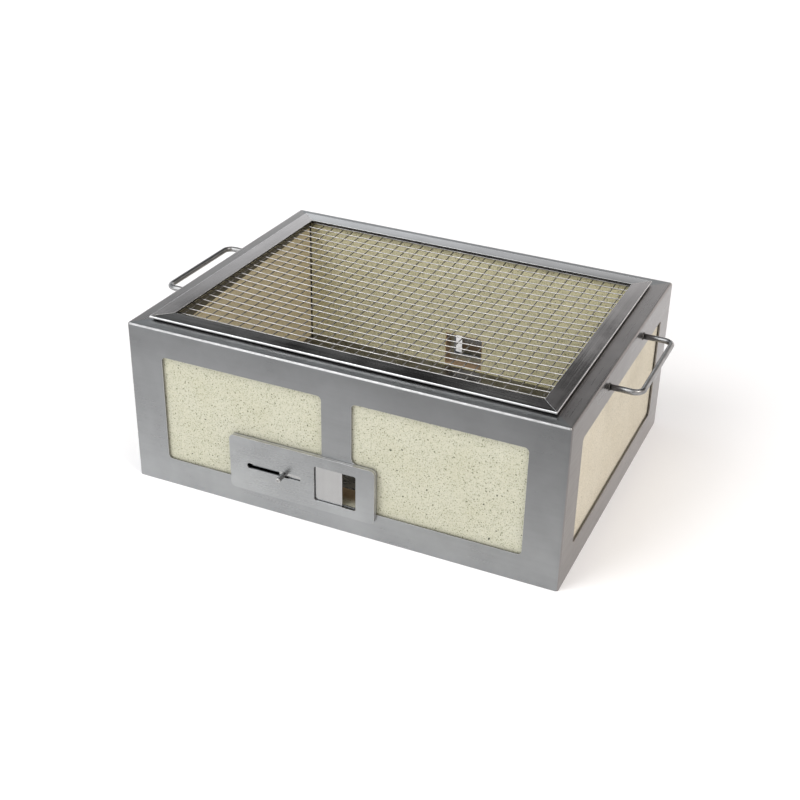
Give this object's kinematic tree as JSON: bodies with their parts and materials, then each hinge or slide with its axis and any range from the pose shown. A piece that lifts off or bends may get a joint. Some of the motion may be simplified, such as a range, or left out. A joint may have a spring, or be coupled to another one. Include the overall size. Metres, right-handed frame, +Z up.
{
  "type": "hibachi grill",
  "caption": "Tabletop charcoal hibachi grill: rectangular steel case with windows over a firebrick lining, sliding air vents, rod side handles and a lift-off wire net in a mitred frame.",
  "frame": {"origin": "centre of the underside of the case, on the surface that the grill stands on", "axes": "+Z up; the front wall with the pictured vent faces -Y; +X runs to the right along the long side"},
  "size_m": [0.528, 0.382, 0.18],
  "materials": {
    "case_steel": "satin sheet steel with fine upright graining and soft heat-tint clouds",
    "firebrick": "dull cream refractory with dark and pale specks and pits",
    "fire_plate_steel": "dark scale-covered sheet, dull sheen",
    "vent_steel": "satin sheet steel",
    "slider_steel": "brighter smooth rolled steel",
    "handle_steel": "drawn rod, satin with lengthwise streaks",
    "washer_steel": "darkened steel",
    "net_frame_steel": "bar steel brushed along its length, brighter edges",
    "clamp_steel": "dull strip steel",
    "net_wire": "drawn wire, satin"
  },
  "bodies": {
    "grill_case": {"case_front_panel": "case_steel", "case_back_panel": "case_steel", "case_left_panel": "case_steel", "case_right_panel": "case_steel", "base_plate": "case_steel", "front_firebrick": "firebrick", "back_firebrick": "firebrick", "left_firebrick": "firebrick", "right_firebrick": "firebrick", "floor_firebrick": "firebrick", "fire_plate": "fire_plate_steel", "front_vent_cover": "vent_steel", "front_vent_upper_guide": "vent_steel", "front_vent_lower_guide": "vent_steel", "front_vent_end_stop": "vent_steel", "rear_vent_cover": "vent_steel", "rear_vent_upper_guide": "vent_steel", "rear_vent_lower_guide": "vent_steel", "rear_vent_end_stop": "vent_steel", "left_handle": "handle_steel", "right_handle": "handle_steel", "left_handle_washers": "washer_steel", "right_handle_washers": "washer_steel"},
    "front_damper": {"front_vent_slider": "slider_steel", "front_vent_pin": "slider_steel"},
    "rear_damper": {"rear_vent_slider": "slider_steel", "rear_vent_pin": "slider_steel"},
    "grill_net": {"net_frame_front_bar": "net_frame_steel", "net_frame_back_bar": "net_frame_steel", "net_frame_left_bar": "net_frame_steel", "net_frame_right_bar": "net_frame_steel", "net_clamp_front_strip": "clamp_steel", "net_clamp_back_strip": "clamp_steel", "net_clamp_left_strip": "clamp_steel", "net_clamp_right_strip": "clamp_steel", "net_long_wires": "net_wire", "net_cross_wires": "net_wire"}
  },
  "joints": [
    {"name": "front_vent_slide", "type": "slide", "parent": "grill_case", "child": "front_damper", "axis": [-1, 0, 0], "range_m": [-0.0161, 0.0385]},
    {"name": "rear_vent_slide", "type": "slide", "parent": "grill_case", "child": "rear_damper", "axis": [1, 0, 0], "range_m": [-0.0096, 0.045]},
    {"name": "grill_net_lift", "type": "slide", "parent": "grill_case", "child": "grill_net", "axis": [0, 0, 1], "range_m": [0, 0.06]}
  ]
}
